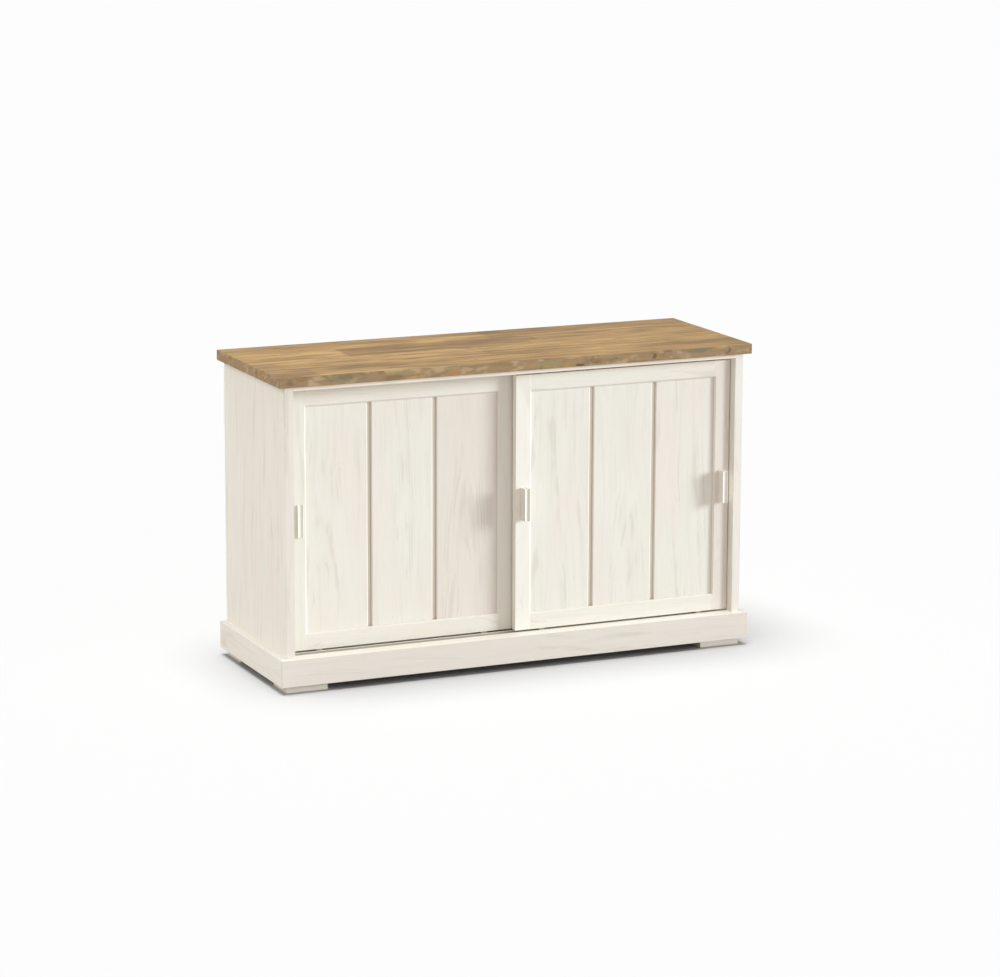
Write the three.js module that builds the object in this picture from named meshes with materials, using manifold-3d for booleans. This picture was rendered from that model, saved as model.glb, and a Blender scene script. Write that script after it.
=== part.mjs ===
// Sideboard with two sliding doors, built as separate boards, door parts and running gear.
// Millimetres, +Z up. The origin is on the floor under the middle of the cabinet; the doors face -Y.

import * as THREE from 'three';
import { mergeVertices } from 'three/addons/utils/BufferGeometryUtils.js';
import Module from 'manifold-3d';

const wasm = await Module();
wasm.setup();

// ---------------------------------------------------------------- driving dimensions

// Whole cabinet
const WIDTH = 1500;
const DEPTH = 520;
const HEIGHT = 922;

// Boards
const TOP_THICKNESS = 30;
const TOP_EDGE_ROUND = 1.5;
const SIDE_THICKNESS = 25;
const BOTTOM_THICKNESS = 22;
const PARTITION_THICKNESS = 18;
const SHELF_THICKNESS = 18;
const RAIL_THICKNESS = 12;
const RAIL_DEPTH = 100;
const BACK_THICKNESS = 6;
const BACK_REBATE = 10; // how far the back panel laps onto each side panel
const FRONT_OVERHANG = 14; // top and plinth stand this far in front of the side panels

// Base
const FOOT_HEIGHT = 22;
const FOOT_LENGTH = 128;
const FOOT_DEPTH = 100;
const FOOT_SETBACK = 20;
const PLINTH_HEIGHT = 80;
const PLINTH_THICKNESS = 22;

// Doors
const DOOR_THICKNESS = 22;
const DOOR_RECESS = 31; // from the side panels' front edges back to the front door's face
const DOOR_SPACING = 7; // clear gap between the front door's back and the rear door's face
const DOOR_OVERLAP = 6; // how far the closed doors lap in the middle
const DOOR_SIDE_GAP = 2;
const DOOR_FLOOR_GAP = 5;
const DOOR_HEAD_GAP = 10;
const FRAME_WIDTH = 50; // stiles and rails
const FRAME_CHAMFER = 4;
const PANEL_RECESS = 8; // from the frame's face back to the planks' face
const PLANK_THICKNESS = 10;
const PLANK_SPACE = 11; // visible tongue between two planks
const PLANK_CHAMFER = 3;
const TONGUE_THICKNESS = 3.5;
const TONGUE_SETBACK = 4; // from the planks' face back to the tongues
const TONGUE_LAP = 6; // how far a tongue goes into the next plank
const PLANKS_PER_DOOR = 3;
const HOUSING_DEPTH = 8; // groove in the frame that holds the planks and tenons
const STOP_THICKNESS = 8;
const STOP_DEPTH = 30;

// Handles
const HANDLE_HEIGHT = 96;
const HANDLE_WIDTH = 18;
const HANDLE_REACH = 30;
const HANDLE_INSET = 25; // from the door's edge to the handle's middle
const HANDLE_FLUTE_WIDTH = 15;
const HANDLE_FLUTE_DEPTH = 4;
const HANDLE_ARRIS = 1;
const PULL_INSET = 30; // the rear door's low pull
const PULL_CLEARANCE = 1; // between the low pull and the front door's back
const PULL_FLUTE_DEPTH = 2.5;

// Running gear
const TRACK_WIDTH = 21;
const TRACK_DEPTH = 6;
const TRACK_WALL = 1.5;
const TRACK_RIB_WIDTH = 3;
const TRACK_RIB_HEIGHT = 2.5;
const WHEEL_TREAD_RADIUS = 10; // rolls on the rib
const WHEEL_RIM_HEIGHT = 2;
const WHEEL_WIDTH = 7;
const WHEEL_AXLE_RADIUS = 2;
const HOUSING_LENGTH = 56;
const HOUSING_WIDTH = 14;
const HOUSING_TOP = 20; // above the door's lower edge
const HOUSING_DROP = 1; // below the door's lower edge
const GEAR_INSET = 90; // from the door's edge to a wheel's or guide's middle
const HEAD_TRACK_HEIGHT = 8;
const HEAD_TRACK_WALL = 1.8;
const HEAD_TRACK_SLOT = 9;
const GUIDE_LENGTH = 40;
const GUIDE_WIDTH = 10;
const GUIDE_DEPTH = 14;
const GUIDE_TONGUE_LENGTH = 24;
const GUIDE_TONGUE_WIDTH = 7;
const GUIDE_TONGUE_HEIGHT = 7;

// Shelves
const SHELF_SETBACK = 10; // behind the partition's front edge
const SHELF_BACK_GAP = 4;
const PARTITION_DOOR_GAP = 6;
const PIN_RADIUS = 2.5;
const PIN_HOLE_DEPTH = 8;
const PIN_PEG_LENGTH = 8;
const PIN_FLANGE_RADIUS = 4;
const PIN_FLANGE_THICKNESS = 1.5;
const PIN_PITCH = 32;
const PIN_HOLES_EACH_WAY = 2; // above and below the middle hole
const PIN_EDGE_DISTANCE = 45;

// Clearances
const FIT = 0.3; // pieces that seat in a hole or pocket, and running parts at rest
const HOUSED_FIT = 0.2; // planks and tenons in the frame's groove

// ---------------------------------------------------------------- derived places

const halfWidth = WIDTH / 2;
const frontFace = -DEPTH / 2;
const backFace = DEPTH / 2;
const topUnderside = HEIGHT - TOP_THICKNESS;
const railUnderside = topUnderside - RAIL_THICKNESS;
const ledge = FOOT_HEIGHT + PLINTH_HEIGHT; // top of the plinth and of the bottom panel
const bottomUnderside = ledge - BOTTOM_THICKNESS;

const sideOuter = halfWidth - PLINTH_THICKNESS;
const sideInner = sideOuter - SIDE_THICKNESS;
const sideFront = frontFace + FRONT_OVERHANG;
const plinthInner = frontFace + PLINTH_THICKNESS;
const backPanelFront = backFace - BACK_THICKNESS;

const innerWidth = 2 * sideInner;
const doorWidth = (innerWidth - 2 * DOOR_SIDE_GAP - STOP_THICKNESS + DOOR_OVERLAP) / 2;
const doorBottom = ledge + DOOR_FLOOR_GAP;
const doorTop = railUnderside - DOOR_HEAD_GAP;
const doorHeight = doorTop - doorBottom;
const frontDoorFace = sideFront + DOOR_RECESS;
const rearDoorFace = frontDoorFace + DOOR_THICKNESS + DOOR_SPACING;
const frontDoorLeft = sideInner - DOOR_SIDE_GAP - doorWidth;
const rearDoorLeft = -sideInner + STOP_THICKNESS + DOOR_SIDE_GAP;
const rearDoorBack = rearDoorFace + DOOR_THICKNESS;
const trackMiddles = [frontDoorFace + DOOR_THICKNESS / 2, rearDoorFace + DOOR_THICKNESS / 2];

const partitionFront = rearDoorBack + PARTITION_DOOR_GAP;
const shelfFront = partitionFront + SHELF_SETBACK;
const shelfBack = backPanelFront - SHELF_BACK_GAP;
const shelfPinHeight = (ledge + railUnderside) / 2;
const shelfUnderside = shelfPinHeight + PIN_RADIUS + FIT;
const pinRows = [shelfFront + PIN_EDGE_DISTANCE, shelfBack - PIN_EDGE_DISTANCE];

const trackFloor = ledge - TRACK_DEPTH + TRACK_WALL;
const ribTop = trackFloor + TRACK_RIB_HEIGHT;
const wheelCentre = ribTop + FIT + WHEEL_TREAD_RADIUS;
const headTrackUnderside = railUnderside - HEAD_TRACK_HEIGHT;

// ---------------------------------------------------------------- finishes

const FINISHES = {
    whitewash: { color: 0xece6da, roughness: 0.62, metalness: 0 },
    oak: { color: 0xb39368, roughness: 0.55, metalness: 0 },
    interior: { color: 0xe9e3d6, roughness: 0.7, metalness: 0 },
    track: { color: 0x8d857a, roughness: 0.5, metalness: 0 },
    nylon: { color: 0xd8d6cf, roughness: 0.4, metalness: 0 },
    steel: { color: 0xb9bcc0, roughness: 0.35, metalness: 1 },
};

// ---------------------------------------------------------------- solids

// A solid for cutting and joining from a closed three.js geometry.
function solid(geometry) {
    const bare = geometry.clone();
    bare.deleteAttribute('normal');
    bare.deleteAttribute('uv');
    const merged = mergeVertices(bare, 1e-4);
    const mesh = new wasm.Mesh({
        numProp: 3,
        vertProperties: new Float32Array(merged.attributes.position.array),
        triVerts: new Uint32Array(merged.index.array),
    });
    return new wasm.Manifold(mesh);
}

// The three.js geometry of a cut or joined solid.
function geometryOf(manifold) {
    const mesh = manifold.getMesh();
    const geometry = new THREE.BufferGeometry();
    geometry.setAttribute('position', new THREE.BufferAttribute(mesh.vertProperties, mesh.numProp));
    geometry.setIndex(new THREE.BufferAttribute(mesh.triVerts, 1));
    geometry.computeVertexNormals();
    return geometry;
}

// A rectangular block between two corners, with its corners exactly there.
function block([x0, y0, z0], [x1, y1, z1]) {
    const geometry = new THREE.BoxGeometry(1, 1, 1);
    const corner = geometry.attributes.position;
    for (let i = 0; i < corner.count; i += 1) {
        const x = corner.getX(i) > 0 ? x1 : x0;
        const y = corner.getY(i) > 0 ? y1 : y0;
        const z = corner.getZ(i) > 0 ? z1 : z0;
        corner.setXYZ(i, x, y, z);
    }
    return geometry;
}

// An upright prism: an outline in X and Y, carried from z0 to z1.
function prismUp(outline, z0, z1) {
    const shape = new THREE.Shape(outline.map(([x, y]) => new THREE.Vector2(x, y)));
    const geometry = new THREE.ExtrudeGeometry(shape, { depth: 1, bevelEnabled: false });
    const corner = geometry.attributes.position;
    for (let i = 0; i < corner.count; i += 1) {
        corner.setZ(i, corner.getZ(i) > 0.5 ? z1 : z0);
    }
    return geometry;
}

// A lying prism: an outline in Y and Z, carried from x0 to x1.
function prismAcross(outline, x0, x1) {
    const geometry = prismUp(outline, x0, x1);
    const corner = geometry.attributes.position;
    for (let i = 0; i < corner.count; i += 1) {
        corner.setXYZ(i, corner.getZ(i), corner.getX(i), corner.getY(i));
    }
    return geometry;
}

// A round solid about the X axis from a profile of [radius, x] pairs that starts and ends on the axis.
function turnedAcross(profile, sides) {
    const points = profile.map(([radius, x]) => new THREE.Vector2(radius, x));
    const geometry = new THREE.LatheGeometry(points, sides);
    geometry.rotateZ(-Math.PI / 2);
    return geometry;
}

// A named mesh with a material of its own.
function piece(name, geometry, finish) {
    const mesh = new THREE.Mesh(geometry, new THREE.MeshStandardMaterial(FINISHES[finish]));
    mesh.name = name;
    return mesh;
}

// ---------------------------------------------------------------- top, sides, back and inner boards

function topPanel() {
    const inset = TOP_EDGE_ROUND;
    const outline = new THREE.Shape();
    outline.moveTo(-halfWidth, frontFace);
    outline.lineTo(halfWidth, frontFace);
    outline.lineTo(halfWidth, backFace);
    outline.lineTo(-halfWidth, backFace);
    const geometry = new THREE.ExtrudeGeometry(outline, {
        depth: TOP_THICKNESS - 2 * inset,
        bevelThickness: inset,
        bevelSize: inset,
        bevelOffset: -inset,
        bevelSegments: 2,
    });
    const mesh = piece('top_panel', geometry, 'oak');
    mesh.position.z = topUnderside + inset;
    return mesh;
}

// A row of blind holes for shelf pins in a face at x, drilled towards +X or -X.
function pinHoles(x, direction) {
    const holes = [];
    for (const y of pinRows) {
        for (let step = -PIN_HOLES_EACH_WAY; step <= PIN_HOLES_EACH_WAY; step += 1) {
            const radius = PIN_RADIUS + FIT;
            const hole = turnedAcross([[0, -1], [radius, -1], [radius, PIN_HOLE_DEPTH], [0, PIN_HOLE_DEPTH]], 12);
            hole.rotateZ(direction > 0 ? 0 : Math.PI);
            hole.translate(x, y, shelfPinHeight + step * PIN_PITCH);
            holes.push(solid(hole));
        }
    }
    return holes;
}

// Side panel: stands on the feet, notched over the front plinth board, rebated for the back panel.
function sidePanel(name, side) {
    const outline = [
        [plinthInner, FOOT_HEIGHT],
        [backFace, FOOT_HEIGHT],
        [backFace, topUnderside],
        [sideFront, topUnderside],
        [sideFront, ledge],
        [plinthInner, ledge],
    ];
    const xs = [side * sideInner, side * sideOuter].sort((a, b) => a - b);
    let board = solid(prismAcross(outline, xs[0], xs[1]));
    const rebate = [side * (sideInner - 1), side * (sideInner + BACK_REBATE)].sort((a, b) => a - b);
    board = board.subtract(
        solid(block([rebate[0], backPanelFront, 0], [rebate[1], backFace + 1, HEIGHT])),
    );
    for (const hole of pinHoles(side * sideInner, side)) {
        board = board.subtract(hole);
    }
    return piece(name, geometryOf(board), 'whitewash');
}

// Bottom panel with two grooves for the door tracks.
function bottomPanel() {
    let board = solid(
        block([-sideInner, plinthInner, bottomUnderside], [sideInner, backPanelFront, ledge]),
    );
    for (const middle of trackMiddles) {
        const groove = block(
            [-sideInner - 1, middle - TRACK_WIDTH / 2, ledge - TRACK_DEPTH],
            [sideInner + 1, middle + TRACK_WIDTH / 2, ledge + 1],
        );
        board = board.subtract(solid(groove));
    }
    return piece('bottom_panel', geometryOf(board), 'whitewash');
}

function backPanel() {
    const edge = sideInner + BACK_REBATE - FIT;
    const board = block([-edge, backPanelFront, bottomUnderside], [edge, backFace, topUnderside]);
    return piece('back_panel', board, 'interior');
}

function centrePartition() {
    const half = PARTITION_THICKNESS / 2;
    let board = solid(
        block([-half, partitionFront, ledge], [half, backPanelFront, railUnderside]),
    );
    for (const side of [-1, 1]) {
        for (const hole of pinHoles(side * half, -side)) {
            board = board.subtract(hole);
        }
    }
    return piece('centre_partition', geometryOf(board), 'interior');
}

function topRails() {
    const front = block(
        [-sideInner, sideFront, railUnderside],
        [sideInner, sideFront + RAIL_DEPTH, topUnderside],
    );
    const back = block(
        [-sideInner, backPanelFront - RAIL_DEPTH, railUnderside],
        [sideInner, backPanelFront, topUnderside],
    );
    return [piece('top_rail_front', front, 'whitewash'), piece('top_rail_back', back, 'interior')];
}

// Narrow laths on the side panels that the rear door closes against.
function doorStops() {
    const y0 = rearDoorFace + DOOR_THICKNESS / 2 - STOP_DEPTH / 2;
    return [['stop_lath_left', -1], ['stop_lath_right', 1]].map(([name, side]) => {
        const xs = [side * sideInner, side * (sideInner - STOP_THICKNESS)].sort((a, b) => a - b);
        const lath = block([xs[0], y0, ledge], [xs[1], y0 + STOP_DEPTH, headTrackUnderside]);
        return piece(name, lath, 'whitewash');
    });
}

// ---------------------------------------------------------------- base

// Plinth boards: mitred at the front corners, planted outside the side panels.
function plinth() {
    const low = FOOT_HEIGHT;
    const mitreGap = FIT * Math.SQRT2;
    const front = prismUp(
        [[-halfWidth, frontFace], [halfWidth, frontFace], [sideOuter, plinthInner], [-sideOuter, plinthInner]],
        low,
        ledge,
    );
    const sideBoards = [['plinth_left', -1], ['plinth_right', 1]].map(([name, side]) => {
        const outline = [
            [side * halfWidth, frontFace + mitreGap],
            [side * sideOuter, plinthInner + mitreGap],
            [side * sideOuter, backFace],
            [side * halfWidth, backFace],
        ];
        return piece(name, prismUp(outline, low, ledge), 'whitewash');
    });
    const back = block(
        [-sideInner, backPanelFront - PLINTH_THICKNESS, low],
        [sideInner, backPanelFront, bottomUnderside],
    );
    return [piece('plinth_front', front, 'whitewash'), ...sideBoards, piece('plinth_back', back, 'interior')];
}

// A foot: a slab under the plinth with an upstand glued into the corner behind the boards.
function foot(name, side, end) {
    const outer = halfWidth - FOOT_SETBACK;
    const inner = outer - FOOT_LENGTH;
    const slabOuter = DEPTH / 2 - FOOT_SETBACK;
    const slabInner = slabOuter - FOOT_DEPTH;
    const upstandOuter = end < 0 ? -plinthInner : backPanelFront - PLINTH_THICKNESS;
    const box = (x0, x1, y0, y1, z1) => {
        const xs = [side * x0, side * x1].sort((a, b) => a - b);
        const ys = [end * y0, end * y1].sort((a, b) => a - b);
        return solid(block([xs[0], ys[0], 0], [xs[1], ys[1], z1]));
    };
    const slab = box(inner, outer, slabInner, slabOuter, FOOT_HEIGHT);
    const upstand = box(inner, sideInner, slabInner, upstandOuter, bottomUnderside);
    return piece(name, geometryOf(slab.add(upstand)), 'whitewash');
}

function feet() {
    return [
        foot('foot_front_left', -1, -1),
        foot('foot_front_right', 1, -1),
        foot('foot_back_left', -1, 1),
        foot('foot_back_right', 1, 1),
    ];
}

// ---------------------------------------------------------------- shelves

// The clear span of a bay at shelf height, on the left (-1) or right (1).
function baySpan(side) {
    const edges = [side * PARTITION_THICKNESS / 2, side * sideInner];
    return edges.sort((a, b) => a - b);
}

function shelf(name, side) {
    const [x0, x1] = baySpan(side);
    const gap = PIN_FLANGE_THICKNESS + 2 * FIT;
    const board = block(
        [x0 + gap, shelfFront, shelfUnderside],
        [x1 - gap, shelfBack, shelfUnderside + SHELF_THICKNESS],
    );
    return piece(name, board, 'interior');
}

// A shelf pin: shank in the board, flange against its face, peg under the shelf.
function shelfPin(name, x, y, direction) {
    const shank = PIN_RADIUS;
    const profile = [
        [0, -PIN_HOLE_DEPTH + FIT],
        [shank, -PIN_HOLE_DEPTH + FIT],
        [shank, 0],
        [PIN_FLANGE_RADIUS, 0],
        [PIN_FLANGE_RADIUS, PIN_FLANGE_THICKNESS],
        [PIN_RADIUS, PIN_FLANGE_THICKNESS],
        [PIN_RADIUS, PIN_PEG_LENGTH],
        [0, PIN_PEG_LENGTH],
    ];
    const mesh = piece(name, turnedAcross(profile, 16), 'steel');
    mesh.rotation.z = direction > 0 ? 0 : Math.PI;
    mesh.position.set(x, y, shelfPinHeight);
    return mesh;
}

function shelves() {
    const pieces = [];
    for (const [bay, side] of [['left', -1], ['right', 1]]) {
        pieces.push(shelf(`shelf_${bay}`, side));
        const [x0, x1] = baySpan(side);
        pieces.push(shelfPin(`shelf_pin_${bay}_1`, x0, pinRows[0], 1));
        pieces.push(shelfPin(`shelf_pin_${bay}_2`, x1, pinRows[0], -1));
        pieces.push(shelfPin(`shelf_pin_${bay}_3`, x0, pinRows[1], 1));
        pieces.push(shelfPin(`shelf_pin_${bay}_4`, x1, pinRows[1], -1));
    }
    return pieces;
}

// ---------------------------------------------------------------- tracks

// Lower track: a shallow channel let into the bottom panel, with a rib that the wheels straddle.
function lowerTrack(name, middle) {
    const half = TRACK_WIDTH / 2;
    const bed = ledge - TRACK_DEPTH;
    const rib = TRACK_RIB_WIDTH / 2;
    const outline = [
        [middle - half, bed],
        [middle + half, bed],
        [middle + half, ledge],
        [middle + half - TRACK_WALL, ledge],
        [middle + half - TRACK_WALL, trackFloor],
        [middle + rib, trackFloor],
        [middle + rib, ribTop],
        [middle - rib, ribTop],
        [middle - rib, trackFloor],
        [middle - half + TRACK_WALL, trackFloor],
        [middle - half + TRACK_WALL, ledge],
        [middle - half, ledge],
    ];
    return piece(name, prismAcross(outline, -sideInner, sideInner), 'track');
}

// Upper track: one profile with a slot over each door, fixed under the front rail.
function upperTrack() {
    const web = railUnderside - TRACK_WALL;
    const outline = [
        [trackMiddles[0] - HEAD_TRACK_SLOT / 2 - HEAD_TRACK_WALL, railUnderside],
        [trackMiddles[0] - HEAD_TRACK_SLOT / 2 - HEAD_TRACK_WALL, headTrackUnderside],
    ];
    for (const [index, middle] of trackMiddles.entries()) {
        const near = middle - HEAD_TRACK_SLOT / 2;
        const far = middle + HEAD_TRACK_SLOT / 2;
        if (index > 0) {
            outline.push([near - HEAD_TRACK_WALL, web]);
            outline.push([near - HEAD_TRACK_WALL, headTrackUnderside]);
        }
        outline.push([near, headTrackUnderside]);
        outline.push([near, web]);
        outline.push([far, web]);
        outline.push([far, headTrackUnderside]);
        outline.push([far + HEAD_TRACK_WALL, headTrackUnderside]);
        if (index < trackMiddles.length - 1) {
            outline.push([far + HEAD_TRACK_WALL, web]);
        }
    }
    const last = trackMiddles[trackMiddles.length - 1];
    outline.push([last + HEAD_TRACK_SLOT / 2 + HEAD_TRACK_WALL, railUnderside]);
    return piece('upper_track', prismAcross(outline, -sideInner, sideInner), 'track');
}

// ---------------------------------------------------------------- door frame
// A door is built in its own group: x from its left edge, y from its face to its back, z from its lower edge.

const openingLeft = FRAME_WIDTH;
const openingRight = doorWidth - FRAME_WIDTH;
const openingLow = FRAME_WIDTH;
const openingHigh = doorHeight - FRAME_WIDTH;
const plankBack = PANEL_RECESS + PLANK_THICKNESS;
const tenonLength = HOUSING_DEPTH - 2 * HOUSED_FIT;

// The shallow pyramid that takes the chamfer off all four inner edges and mitres it in the corners.
function chamferCutter() {
    const spread = FRAME_CHAMFER + 1;
    const outline = [
        [openingLeft, openingLow],
        [openingRight, openingLow],
        [openingRight, openingHigh],
        [openingLeft, openingHigh],
    ];
    const geometry = prismUp(outline, 0, 1);
    const corner = geometry.attributes.position;
    for (let i = 0; i < corner.count; i += 1) {
        const outward = corner.getZ(i) > 0.5 ? spread : 0;
        const x = corner.getX(i) + (corner.getX(i) > doorWidth / 2 ? outward : -outward);
        const z = corner.getY(i) + (corner.getY(i) > doorHeight / 2 ? outward : -outward);
        const y = FRAME_CHAMFER - outward;
        corner.setXYZ(i, x, y, z);
    }
    return solid(geometry);
}

// The groove that runs round the inside of the frame, between two heights or widths.
function housing([x0, z0], [x1, z1]) {
    return solid(block([x0, PANEL_RECESS - HOUSED_FIT, z0], [x1, plankBack + HOUSED_FIT, z1]));
}

function stile(name, isRight) {
    const x0 = isRight ? openingRight : 0;
    const inner = isRight ? openingRight : openingLeft;
    const groove = isRight
        ? housing([inner - 1, -1], [inner + HOUSING_DEPTH, doorHeight + 1])
        : housing([inner - HOUSING_DEPTH, -1], [inner + 1, doorHeight + 1]);
    const board = solid(block([x0, 0, 0], [x0 + FRAME_WIDTH, DOOR_THICKNESS, doorHeight]))
        .subtract(groove)
        .subtract(chamferCutter());
    return piece(name, geometryOf(board), 'whitewash');
}

// A rail with a stub tenon at each end, a groove for the planks and pockets for the running gear.
function doorRail(name, isTop, pockets) {
    const z0 = isTop ? openingHigh : 0;
    const inner = isTop ? openingHigh : openingLow;
    const groove = isTop
        ? housing([openingLeft - HOUSING_DEPTH - 1, inner - 1], [openingRight + HOUSING_DEPTH + 1, inner + HOUSING_DEPTH])
        : housing([openingLeft - HOUSING_DEPTH - 1, inner - HOUSING_DEPTH], [openingRight + HOUSING_DEPTH + 1, inner + 1]);
    const tenonBar = block(
        [openingLeft - tenonLength, PANEL_RECESS, z0],
        [openingRight + tenonLength, plankBack, z0 + FRAME_WIDTH],
    );
    let board = solid(block([openingLeft, 0, z0], [openingRight, DOOR_THICKNESS, z0 + FRAME_WIDTH]))
        .add(solid(tenonBar))
        .subtract(groove)
        .subtract(chamferCutter());
    for (const pocket of pockets) {
        board = board.subtract(solid(pocket));
    }
    return piece(name, geometryOf(board), 'whitewash');
}

// A pocket in a rail's outer edge for a piece of the given size, with room round it.
function pocket(x, length, width, z0, z1) {
    const middle = DOOR_THICKNESS / 2;
    return block(
        [x - length / 2 - FIT, middle - width / 2 - FIT, z0],
        [x + length / 2 + FIT, middle + width / 2 + FIT, z1],
    );
}

// ---------------------------------------------------------------- planks

// Section of a plank, seen from above: its left edge is housed or grooved, its right edge housed or tongued.
function plankOutline(left, right, isFirst, isLast) {
    const face = PANEL_RECESS;
    const middle = face + TONGUE_SETBACK + TONGUE_THICKNESS / 2;
    const chamfer = PLANK_CHAMFER;
    const slotHalf = TONGUE_THICKNESS / 2 + HOUSED_FIT;
    const tongueHalf = TONGUE_THICKNESS / 2;
    const slotEnd = left + TONGUE_LAP + HOUSED_FIT;
    const tongueEnd = right + PLANK_SPACE + TONGUE_LAP;
    const leftEdge = isFirst
        ? [[left, face]]
        : [
            [slotEnd, middle + slotHalf],
            [slotEnd, middle - slotHalf],
            [left, middle - slotHalf],
            [left, face + chamfer],
            [left + chamfer, face],
        ];
    const rightEdge = isLast
        ? [[right, face], [right, plankBack]]
        : [
            [right - chamfer, face],
            [right, face + chamfer],
            [right, middle - tongueHalf],
            [tongueEnd, middle - tongueHalf],
            [tongueEnd, middle + tongueHalf],
            [right, middle + tongueHalf],
            [right, plankBack],
        ];
    const backLeft = isFirst ? [[left, plankBack]] : [[left, plankBack], [left, middle + slotHalf]];
    return [...leftEdge, ...rightEdge, ...backLeft];
}

function planks(door) {
    const names = ['left', 'middle', 'right'];
    const reach = tenonLength;
    const openingWidth = openingRight - openingLeft;
    const bodyWidth = (openingWidth - (PLANKS_PER_DOOR - 1) * PLANK_SPACE) / PLANKS_PER_DOOR;
    return names.map((place, index) => {
        const isFirst = index === 0;
        const isLast = index === PLANKS_PER_DOOR - 1;
        const bodyLeft = openingLeft + index * (bodyWidth + PLANK_SPACE);
        const left = isFirst ? bodyLeft - reach : bodyLeft;
        const right = isLast ? bodyLeft + bodyWidth + reach : bodyLeft + bodyWidth;
        const outline = plankOutline(left, right, isFirst, isLast);
        return piece(
            `${door}_plank_${place}`,
            prismUp(outline, openingLow - reach, openingHigh + reach),
            'whitewash',
        );
    });
}

// ---------------------------------------------------------------- handles

// An upright bar with a hollow flute down its front. `x` is its middle, `reach` how far it stands out.
function handle(name, x, reach, fluteDepth) {
    const half = HANDLE_WIDTH / 2;
    const lip = HANDLE_FLUTE_WIDTH / 2;
    const outline = [[x - half, 0], [x - half, -reach + HANDLE_ARRIS], [x - half + HANDLE_ARRIS, -reach]];
    const steps = 10;
    for (let step = 0; step <= steps; step += 1) {
        const across = -1 + 2 * step / steps;
        outline.push([x + lip * across, -reach + fluteDepth * (1 - across * across)]);
    }
    outline.push([x + half - HANDLE_ARRIS, -reach]);
    outline.push([x + half, -reach + HANDLE_ARRIS]);
    outline.push([x + half, 0]);
    const low = (doorHeight - HANDLE_HEIGHT) / 2;
    return piece(name, prismUp(outline, low, low + HANDLE_HEIGHT), 'whitewash');
}

// ---------------------------------------------------------------- rollers and guides

const wheelHeight = wheelCentre - doorBottom; // the wheel's middle above the door's lower edge
const wheelRadius = WHEEL_TREAD_RADIUS + WHEEL_RIM_HEIGHT;
const wheelSlotTop = wheelHeight + wheelRadius + 2 * FIT;

// Roller housing: let into the door's lower edge, with a slot for the wheel and the axle across it.
function rollerHousing(name, x) {
    const middle = DOOR_THICKNESS / 2;
    const body = block(
        [x - HOUSING_LENGTH / 2, middle - HOUSING_WIDTH / 2, -HOUSING_DROP],
        [x + HOUSING_LENGTH / 2, middle + HOUSING_WIDTH / 2, HOUSING_TOP],
    );
    const slotHalfLength = wheelRadius + 1;
    const slotHalfWidth = WHEEL_WIDTH / 2 + FIT;
    const slot = block(
        [x - slotHalfLength, middle - slotHalfWidth, -HOUSING_DROP - 1],
        [x + slotHalfLength, middle + slotHalfWidth, wheelSlotTop],
    );
    const axle = new THREE.CylinderGeometry(WHEEL_AXLE_RADIUS, WHEEL_AXLE_RADIUS, HOUSING_WIDTH - 2, 24);
    axle.translate(x, middle, wheelHeight);
    const housingBody = solid(body).subtract(solid(slot)).add(solid(axle));
    return piece(name, geometryOf(housingBody), 'nylon');
}

// Grooved wheel: its tread rolls on the track's rib and its rims keep it there.
function wheel(name, x) {
    const half = WHEEL_WIDTH / 2;
    const grooveHalf = TRACK_RIB_WIDTH / 2 + FIT;
    const bore = WHEEL_AXLE_RADIUS + FIT;
    const profile = [
        [bore, -half],
        [wheelRadius, -half],
        [wheelRadius, -grooveHalf - FIT],
        [WHEEL_TREAD_RADIUS, -grooveHalf],
        [WHEEL_TREAD_RADIUS, grooveHalf],
        [wheelRadius, grooveHalf + FIT],
        [wheelRadius, half],
        [bore, half],
        [bore, -half],
    ];
    const points = profile.map(([radius, y]) => new THREE.Vector2(radius, y));
    const mesh = piece(name, new THREE.LatheGeometry(points, 36), 'nylon');
    mesh.position.set(x, DOOR_THICKNESS / 2, wheelHeight);
    return mesh;
}

// Top guide: let into the door's upper edge, with a round-ended tongue that runs in the upper track.
function topGuide(name, x) {
    const middle = DOOR_THICKNESS / 2;
    const body = block(
        [x - GUIDE_LENGTH / 2, middle - GUIDE_WIDTH / 2, doorHeight - GUIDE_DEPTH],
        [x + GUIDE_LENGTH / 2, middle + GUIDE_WIDTH / 2, doorHeight],
    );
    const end = GUIDE_TONGUE_WIDTH / 2;
    const run = GUIDE_TONGUE_LENGTH / 2 - end;
    const outline = [];
    const steps = 8;
    for (const [offset, start] of [[run, -Math.PI / 2], [-run, Math.PI / 2]]) {
        for (let step = 0; step <= steps; step += 1) {
            const angle = start + Math.PI * step / steps;
            outline.push([x + offset + end * Math.cos(angle), middle + end * Math.sin(angle)]);
        }
    }
    const tongue = prismUp(outline, doorHeight - 1, doorHeight + GUIDE_TONGUE_HEIGHT);
    return piece(name, geometryOf(solid(body).add(solid(tongue))), 'nylon');
}

// ---------------------------------------------------------------- doors

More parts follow.
